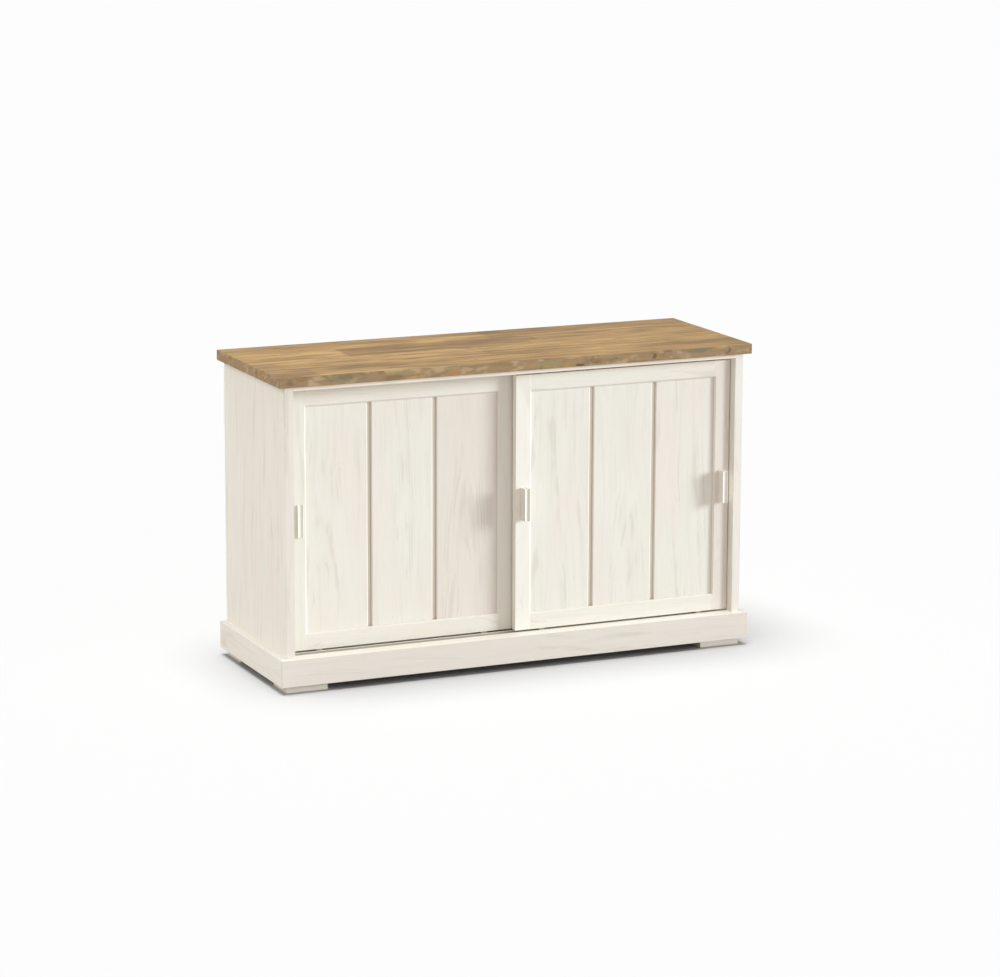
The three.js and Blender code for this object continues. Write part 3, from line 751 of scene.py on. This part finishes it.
def set_heart(piece: Object, grain: Grain, depth_axis: Axis, behind: float) -> None:
    """Says where the middle of a board's log lies, so that each board shows its own figure.

    Args:
        piece: The board.
        grain: Which way its grain runs.
        depth_axis: The axis through its thickness.
        behind: How far the heart lies from its middle along that axis, in metres.
    """
    draw = random.Random(piece.name)
    low = Vector([min(corner[axis] for corner in piece.bound_box) for axis in Axis])
    high = Vector([max(corner[axis] for corner in piece.bound_box) for axis in Axis])
    heart = (low + high) / 2
    along = grain.value[2]
    side = sum(Axis) - along - depth_axis  # the axis that is left over
    heart[side] += draw.uniform(*HEART_ASIDE) * (high[side] - low[side])
    heart[depth_axis] += behind * draw.uniform(*HEART_BEHIND)
    heart[along] += draw.uniform(*HEART_ALONG)
    layer = piece.data.attributes.new(HEART, "FLOAT_VECTOR", "POINT")
    layer.data.foreach_set("vector", [*heart] * len(piece.data.vertices))


def paint(piece: Object, *materials: Material) -> None:
    """Gives a piece its materials.

    Args:
        piece: The piece.
        materials: The materials, the first on every face.
    """
    piece.data.materials.clear()
    for material in materials:
        piece.data.materials.append(material)


def adopt(piece: Object, body: str, slot: str, *nodes: str) -> None:
    """Ties a piece to its body and the CAD nodes it stands for.

    Args:
        piece: The piece.
        body: The body it moves with.
        slot: The record's material slot; not used.
        nodes: The CAD nodes it replaces.
    """
    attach(piece, body)
    if nodes:
        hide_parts(*nodes)
    log.info("%s rides on %s and replaces %s", piece.name, body, ", ".join(nodes) or "nothing")


def paint_faces(piece: Object, index: int, wanted: Callable[[MeshPolygon], bool]) -> None:
    """Gives some of a piece's faces another of its materials.

    Args:
        piece: The piece.
        index: The material's number on the piece.
        wanted: Says whether a face takes it.
    """
    for face in piece.data.polygons:
        if wanted(face):
            face.material_index = index


@dataclass
class Board:
    """A plain board that follows its CAD node, with its own cut of wood and eased arrises."""

    node: str
    grain: Grain
    depth_axis: Axis
    behind: float = 0.06  # metres from its middle to the heart of its log
    ease_mm: float = 0.8

    def build(self, body: str, slot: str, material: Material) -> Object:
        """Builds the board.

        Args:
            body: The body it moves with.
            slot: The record's material slot.
            material: Its finish.

        Returns:
            The board.
        """
        piece = copy_of_node(self.node, f"{self.node}_eased")
        ease(piece, self.ease_mm)
        set_heart(piece, self.grain, self.depth_axis, self.behind)
        paint(piece, material)
        adopt(piece, body, slot, self.node)
        return piece


# ---------------------------------------------------------------- oak top


@dataclass(frozen=True)
class Stave:
    """One stave of a row: where it ends, as x in metres, and its tone from 0, light, to 1, dark."""

    end: float
    tone: float


@dataclass
class OakTop:
    """The top: rows of staves glued edge to edge and planed flush, with staggered butt joints."""

    node: str = "top_panel"
    arris_mm: float = 1.6
    arris_facets: int = 3
    heart_along: float = 4.0  # metres either way
    heart_aside: tuple[float, float] = (-0.2, 1.2)  # across the stave, as a share of its width
    heart_below: tuple[float, float] = (0.02, 0.09)  # metres under the top
    edge_lean: float = 0.5  # a face whose normal rises less than this is a sawn edge
    rows: Sequence[Sequence[Stave]] = (
        (Stave(-0.621, 0.78), Stave(0.295, 0.36), Stave(0.8, 0.52)),
        (Stave(-0.621, 0.7), Stave(0.31, 0.52), Stave(0.8, 0.64)),
        (Stave(-0.042, 0.2), Stave(0.41, 0.42), Stave(0.8, 0.46)),
        (Stave(-0.03, 0.14), Stave(0.41, 0.36), Stave(0.8, 0.52)),
        (Stave(-0.429, 0.24), Stave(0.16, 0.6), Stave(0.8, 0.44)),
        (Stave(-0.429, 0.12), Stave(0.2, 0.78), Stave(0.8, 0.5)),
        (Stave(-0.43, 0.42), Stave(0.075, 0.34), Stave(0.8, 0.66)),
        (Stave(-0.445, 0.46), Stave(0.075, 0.52), Stave(0.8, 0.78)),
    )

    def build(self, finishes: Finishes) -> Object:
        """Builds the top.

        Args:
            finishes: The sideboard's materials.

        Returns:
            The top.
        """
        low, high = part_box(self.node)
        bpy.ops.mesh.primitive_cube_add(size=1, location=(low + high) / 2, scale=high - low)
        piece = bpy.context.object
        piece.name = piece.data.name = "oak_top"
        make_active(piece)
        bpy.ops.object.transform_apply(location=True, rotation=True, scale=True)
        self.rule_rows(piece, low, high)
        self.mark_staves(piece, low, high)
        ease(piece, self.arris_mm, self.arris_facets)
        paint(piece, finishes.oak)
        adopt(piece, "cabinet", "oak top", self.node)
        return piece

    def rule_rows(self, piece: Object, low: Vector, high: Vector) -> None:
        """Cuts the block's faces along the glue lines and butt joints.

        Args:
            piece: The block.
            low: Its lowest corner.
            high: Its highest corner.
        """
        width = (high.y - low.y) / len(self.rows)
        middle = (low + high) / 2
        bpy.ops.object.mode_set(mode="EDIT")
        for number in range(1, len(self.rows)):
            bpy.ops.mesh.select_all(action="SELECT")
            glue_line = (middle.x, low.y + number * width, middle.z)
            bpy.ops.mesh.bisect(plane_co=glue_line, plane_no=(0, 1, 0))
        for number, row in enumerate(self.rows):
            for stave in row[:-1]:
                self.select_row(piece, low.y + number * width, low.y + (number + 1) * width)
                bpy.ops.mesh.bisect(plane_co=(stave.end, middle.y, middle.z), plane_no=(1, 0, 0))
        bpy.ops.object.mode_set(mode="OBJECT")

    @staticmethod
    def select_row(piece: Object, near: float, far: float) -> None:
        """Selects the faces of one row, in edit mode.

        Args:
            piece: The block.
            near: The row's front edge.
            far: The row's back edge.
        """
        bpy.ops.mesh.select_all(action="DESELECT")
        bpy.ops.object.mode_set(mode="OBJECT")
        for face in piece.data.polygons:
            face.select = near <= face.center.y <= far
        bpy.ops.object.mode_set(mode="EDIT")

    def mark_staves(self, piece: Object, low: Vector, high: Vector) -> None:
        """Marks each face with its stave's tone, its log's heart and whether it is a sawn edge.

        Args:
            piece: The ruled block.
            low: Its lowest corner.
            high: Its highest corner.
        """
        width = (high.y - low.y) / len(self.rows)
        tone_layer = piece.data.attributes.new(TONE, "FLOAT", "FACE")
        heart_layer = piece.data.attributes.new(HEART, "FLOAT_VECTOR", "FACE")
        edge_shade_and_stain_layer = piece.data.attributes.new(EDGE_SHADE_AND_STAIN, "FLOAT", "FACE")
        for face in piece.data.polygons:
            number = min(int((face.center.y - low.y) / width), len(self.rows) - 1)
            row = self.rows[number]
            place = next(i for i, stave in enumerate(row) if face.center.x < stave.end or stave is row[-1])
            draw = random.Random(f"stave {number} {place}")
            heart = (
                draw.uniform(-self.heart_along, self.heart_along),
                low.y + (number + draw.uniform(*self.heart_aside)) * width,
                low.z - draw.uniform(*self.heart_below),
            )
            tone_layer.data[face.index].value = row[place].tone
            heart_layer.data[face.index].vector = heart
            edge_shade_and_stain_layer.data[face.index].value = float(abs(face.normal.z) < self.edge_lean)


# ---------------------------------------------------------------- cabinet


@dataclass
class Carcass:
    """The cabinet's boards: sides, bottom, partition, rails, laths, plinth, feet and shelves."""

    WHITE = "whitewashed wood"
    INNER = "interior board"

    finishes: Finishes
    base_ease_mm: float = 1.0  # plinth and feet, which take knocks
    back_ease_mm: float = 0.4  # the thin back panel
    ledge_lean: float = 0.3  # faces whose normal rises more than this belong to the plinth's ledge
    arris_lean: float = 0.2  # faces that turn at least this far both ways belong to an arris

    def build(self) -> None:
        """Builds every board."""
        for side, sign in (("left", 1), ("right", -1)):
            panel = self.white(Board(f"side_panel_{side}", Grain.UPRIGHT, Axis.X, behind=sign * 0.09))
            if side == "left":
                # the left side panel's front edge takes a darker tone, its outer arris painted shade
                self.tone_and_shade_front_edge(panel)
            self.white(Board(f"stop_lath_{side}", Grain.UPRIGHT, Axis.X, behind=sign * 0.05))
            self.plinth(
                Board(f"plinth_{side}", Grain.DEEP, Axis.X, behind=sign * 0.06, ease_mm=self.base_ease_mm),
                self.finishes.white[Grain.DEEP],
            )
            self.inner(Board(f"shelf_{side}", Grain.ACROSS, Axis.Z, behind=-0.05))
        self.plinth(
            Board("plinth_front", Grain.ACROSS, Axis.Y, behind=0.05, ease_mm=self.base_ease_mm),
            self.finishes.plinth,
        )
        # the bottom panel, ledge included, is painted whiter as light from above
        bottom = Board("bottom_panel", Grain.ACROSS, Axis.Z, behind=-0.06)
        bottom.build("cabinet", self.WHITE, self.finishes.thick[Grain.ACROSS])
        # the front rail's whiter finish is painted light against the shade under the top
        rail = Board("top_rail_front", Grain.ACROSS, Axis.Y)
        rail.build("cabinet", self.WHITE, self.finishes.top_rail)
        self.inner(Board("top_rail_back", Grain.ACROSS, Axis.Z, behind=-0.05))
        self.inner(Board("plinth_back", Grain.ACROSS, Axis.Y, behind=-0.05))
        self.inner(Board("centre_partition", Grain.UPRIGHT, Axis.X, behind=0.08))
        self.inner(Board("back_panel", Grain.UPRIGHT, Axis.Y, behind=0.1, ease_mm=self.back_ease_mm))
        # the feet's darker whitewash is painted shade under the plinth
        for end in ("front", "back"):
            for side in ("left", "right"):
                foot = Board(
                    f"foot_{end}_{side}", Grain.ACROSS, Axis.Y, behind=0.04, ease_mm=self.base_ease_mm
                )
                foot.build("cabinet", self.WHITE, self.finishes.foot)

    def white(self, board: Board) -> Object:
        """Builds a whitewashed board."""
        return board.build("cabinet", self.WHITE, self.finishes.white[board.grain])

    def tone_and_shade_front_edge(self, panel: Object) -> None:
        """Gives the left side panel's front edge a darker, warmer tone, and paints its outer arris tan as shade.

        Args:
            panel: The side panel.
        """
        panel.data.materials.append(self.finishes.thin)
        panel.data.materials.append(self.finishes.gap)
        lean = -self.arris_lean
        paint_faces(panel, 1, lambda face: face.normal.y < -FACING)
        paint_faces(panel, 2, lambda face: face.normal.x < lean and face.normal.y < lean)

    def plinth(self, board: Board, finish: Material) -> None:
        """Builds a plinth board, its ledge painted whiter as light from above.

        Args:
            board: The board.
            finish: The finish of its outer face.
        """
        piece = board.build("cabinet", self.WHITE, finish)
        piece.data.materials.append(self.finishes.thick[board.grain])
        paint_faces(piece, 1, lambda face: face.normal.z > self.ledge_lean)

    def inner(self, board: Board) -> None:
        """Builds an inside board."""
        board.build("cabinet", self.INNER, self.finishes.inner[board.grain])


# ---------------------------------------------------------------- doors


@dataclass
class SlidingDoor:
    """A framed door of tongue-and-groove planks with its handles and running gear."""

    name: str
    handles: Sequence[str]
    whiter_parts: Sequence[str] = ()
    shade_parts: Sequence[str] = ()
    joint_depth_mm: float = 3.4  # a face further back than this on a plank is its tongue
    heart_depth: float = 0.07  # metres behind its boards
    frame_ease_mm: float = 0.4
    plank_ease_mm: float = 0.6
    handle_ease_mm: float = 0.9
    fitting_ease_mm: float = 0.25
    fitting_sharp: float = 40.0  # degrees; only edges sharper than this are rounded on a fitting

    def build(self, finishes: Finishes) -> None:
        """Builds the door.

        Args:
            finishes: The sideboard's materials.
        """
        upright = finishes.frame[Grain.UPRIGHT]
        lying = finishes.frame[Grain.ACROSS]
        for side in ("left", "right"):
            stile = f"stile_{side}"
            finish = finishes.thick_stile if stile in self.whiter_parts else upright
            # a stile listed for shade takes the darker whitewash, as painted shade
            finish = finishes.thin if stile in self.shade_parts else finish
            self.board(stile, Grain.UPRIGHT, finish, self.frame_ease_mm)
        for place in ("top", "bottom"):
            self.board(f"rail_{place}", Grain.ACROSS, lying, self.frame_ease_mm)
        for place in ("left", "middle", "right"):
            self.plank(place, finishes)
        for handle in self.handles:
            self.board(handle, Grain.UPRIGHT, upright, self.handle_ease_mm)
        for side in ("left", "right"):
            self.fitting(f"roller_housing_{side}", self.name, finishes.nylon)
            self.fitting(f"top_guide_{side}", self.name, finishes.nylon)
            self.fitting(f"wheel_{side}", f"{self.name}_wheel_{side}", finishes.nylon)

    def board(self, part: str, grain: Grain, material: Material, ease_mm: float) -> None:
        """Builds one board of the door.

        Args:
            part: The part's name within the door.
            grain: Which way its grain runs.
            material: Its finish.
            ease_mm: How far its arrises are rounded.
        """
        board = Board(f"{self.name}_{part}", grain, Axis.Y, self.heart_depth, ease_mm)
        board.build(self.name, Carcass.WHITE, material)

    def plank(self, place: str, finishes: Finishes) -> None:
        """Builds one plank, its tongue painted tan as shade.

        Args:
            place: left, middle or right.
            finishes: The sideboard's materials.
        """
        node = f"{self.name}_plank_{place}"
        # a plank listed for shade takes the darker whitewash, as painted shade
        finish = finishes.thin if f"plank_{place}" in self.shade_parts else finishes.white[Grain.UPRIGHT]
        board = Board(node, Grain.UPRIGHT, Axis.Y, self.heart_depth, self.plank_ease_mm)
        piece = board.build(self.name, Carcass.WHITE, finish)
        piece.data.materials.append(finishes.gap)
        tongue_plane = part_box(node)[0].y + self.joint_depth_mm * MM
        paint_faces(piece, 1, lambda face: face.normal.y < -FACING and face.center.y > tongue_plane)

    def fitting(self, part: str, body: str, material: Material) -> None:
        """Builds one moulded fitting.

        Args:
            part: The part's name within the door.
            body: The body it moves with.
            material: Its finish.
        """
        node = f"{self.name}_{part}"
        piece = copy_of_node(node, f"{node}_moulded")
        ease(piece, self.fitting_ease_mm, angle=self.fitting_sharp)
        paint(piece, material)
        adopt(piece, body, "roller nylon", node)


# ---------------------------------------------------------------- tracks and pins


class Fittings:
    """The tracks and shelf pins, which keep their CAD shapes."""

    def build(self, finishes: Finishes) -> None:
        """Gives each its finish.

        Args:
            finishes: The sideboard's materials.
        """
        for node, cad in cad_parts.items():
            if "track" in node:
                paint(cad, finishes.top_track if node.startswith("upper") else finishes.track)
            elif node.startswith("shelf_pin"):
                paint(cad, finishes.zinc)


# ---------------------------------------------------------------- studio


@dataclass(frozen=True)
class Lamp:
    """A soft distant light. Its place is in degrees: to the right of straight in front, and above the floor."""

    name: str
    turn: float
    height: float
    strength: float
    softness: float
    colour: tuple[float, float, float] = (1.0, 1.0, 1.0)

    def build(self) -> Object:
        """Hangs the lamp.

        Returns:
            The lamp.
        """
        data = bpy.data.lights.new(self.name, "SUN")
        data.energy = self.strength
        data.angle = math.radians(self.softness)
        data.color = self.colour
        item = bpy.data.objects.new(self.name, data)
        turn, height = math.radians(self.turn), math.radians(self.height)
        flat = math.cos(height)
        towards = Vector((math.sin(turn) * flat, -math.cos(turn) * flat, math.sin(height)))
        item.rotation_mode = "QUATERNION"
        item.rotation_quaternion = towards.to_track_quat("Z", "Y")
        bpy.context.scene.collection.objects.link(item)
        return item


@dataclass
class Studio:
    """A pale floor, an even surround, soft lamps and the camera. Places are in metres and turns in degrees.

    The side lamps are kept off the floor, as flags would, so that it stays evenly white; the soft box overhead
    and the surround give it the object's shadow.
    """

    camera_place: tuple[float, float, float] = (-4.2750, -9.6583, 2.7246)
    camera_yaw: float = -24.107
    camera_pitch: float = 11.925
    camera_roll: float = 0.2
    lens_mm: float = 130.5
    sensor_mm: float = 36.0
    sees_to: float = 500.0
    surround: tuple[float, float, float] = (0.645, 0.597, 0.56)  # the light it gives, in linear red, green, blue
    backdrop: str = "FDFDFD"
    floor_seen: tuple[float, float, float] = (0.5966, 0.614, 0.6286)  # to the camera
    floor_plain: tuple[float, float, float] = (0.42, 0.42, 0.425)  # to everything else, so it bounces less light
    floor_reach: float = 80.0
    key: Lamp = Lamp("key", 62.5, 12.0, 2.85, 20.0, (0.86, 0.935, 0.985))
    rim: Lamp = Lamp("rim", -115.0, 30.0, 1.08, 30.0)
    side_key: Lamp = Lamp("side key", 34.0, 12.0, 1.6, 20.0, (0.86, 0.935, 0.985))
    overhead: Lamp = Lamp("overhead", 0.0, 86.0, 0.8, 30.0)
    floor_box: Lamp = Lamp("floor box", -90.0, 86.0, 3.15, 35.0)

    def build(self, side_panel: Object, *others: Object) -> None:
        """Builds the camera, the lights and the floor.

        The low key lamp would burn out the boards that face it squarely, so they have a key of their own.

        Args:
            side_panel: The side panel nearest the key lamp, which casts no shadow of it.
            others: The other boards that the side key lights.
        """
        self.camera()
        self.world()
        floor = self.floor()
        facing = (side_panel, *others)
        for lamp, state, items in (
            (self.key, "EXCLUDE", (floor, *facing)),
            (self.rim, "EXCLUDE", (floor,)),
            (self.overhead, "EXCLUDE", (floor,)),
            (self.floor_box, "INCLUDE", (floor,)),
            (self.side_key, "INCLUDE", facing),
        ):
            linking = lamp.build().light_linking
            linking.receiver_collection = self.link_set(f"{lamp.name} reach", state, *items)
            if lamp is self.key:
                linking.blocker_collection = self.link_set("key shadow", "EXCLUDE", side_panel)

    @staticmethod
    def link_set(name: str, state: str, *items: Object) -> Collection:
        """Makes a light-linking set of some objects alone, or of everything but them.

        Args:
            name: The set's name.
            state: INCLUDE for them alone, or EXCLUDE for everything else.
            items: The objects.

        Returns:
            The set.
        """
        group = bpy.data.collections.new(name)
        for item in items:
            group.objects.link(item)
        for entry in group.collection_objects:
            entry.light_linking.link_state = state
        return group

    def camera(self) -> None:
        """Places the camera."""
        data = bpy.data.cameras.new("camera")
        data.lens = self.lens_mm
        data.sensor_width = self.sensor_mm
        data.clip_end = self.sees_to
        item = bpy.data.objects.new("camera", data)
        bpy.context.scene.collection.objects.link(item)
        turn = (
            Matrix.Rotation(math.radians(self.camera_yaw), 4, "Z")
            @ Matrix.Rotation(math.radians(90.0 - self.camera_pitch), 4, "X")
            @ Matrix.Rotation(math.radians(self.camera_roll), 4, "Z")
        )
        item.matrix_world = Matrix.Translation(self.camera_place) @ turn
        bpy.context.scene.camera = item

    def world(self) -> None:
        """Makes an even surround, white where it is seen directly or in a reflection."""
        world = bpy.data.worlds.new("studio")
        bpy.context.scene.world = world
        world.use_nodes = True
        tree = world.node_tree
        tree.nodes.clear()
        ray = add_node(tree, "LightPath").outputs
        seen = ray["Is Camera Ray"]
        for kind in ("Is Glossy Ray", "Is Transmission Ray"):
            seen = add_node(tree, "Math", {"operation": "MAXIMUM"}, {0: seen, 1: ray[kind]}).outputs[0]
        colour = add_node(
            tree, "Mix", {"data_type": "RGBA"}, {0: seen, 6: (*self.surround, 1.0), 7: linear(self.backdrop)}
        ).outputs[2]
        background = add_node(tree, "Background", inputs={"Color": colour, "Strength": 1.0}).outputs[0]
        add_node(tree, "OutputWorld", inputs={"Surface": background})

    def floor(self) -> Object:
        """Lays the floor, lifted to the backdrop's white where it is seen directly.

        Returns:
            The floor.
        """
        bpy.ops.mesh.primitive_plane_add(size=2 * self.floor_reach, location=(0, 0, 0))
        item = bpy.context.object
        item.name = "floor"
        material, tree = new_material("matt white floor")
        seen = add_node(tree, "LightPath").outputs["Is Camera Ray"]
        colour = add_node(
            tree,
            "Mix",
            {"data_type": "RGBA"},
            {0: seen, 6: (*self.floor_plain, 1.0), 7: (*self.floor_seen, 1.0)},
        ).outputs[2]
        shader = add_node(tree, "BsdfDiffuse", inputs={"Color": colour}).outputs[0]
        add_node(tree, "OutputMaterial", inputs={"Surface": shader})
        paint(item, material)
        return item


def main() -> None:
    """Builds the sideboard in order."""
    bpy.context.scene.view_settings.view_transform = "Standard"
    finishes = Finishes()
    OakTop().build(finishes)
    Carcass(finishes).build()
    front_door = SlidingDoor("front_door", ("handle_left", "handle_right"), ("stile_left",), ("stile_right",))
    front_door.build(finishes)
    SlidingDoor("rear_door", ("pull",), shade_parts=("plank_right",)).build(finishes)
    Fittings().build(finishes)
    Studio().build(*(bpy.data.objects[f"{node}_eased"] for node in SIDE_LIT))


if __name__ == "__main__":
    main()
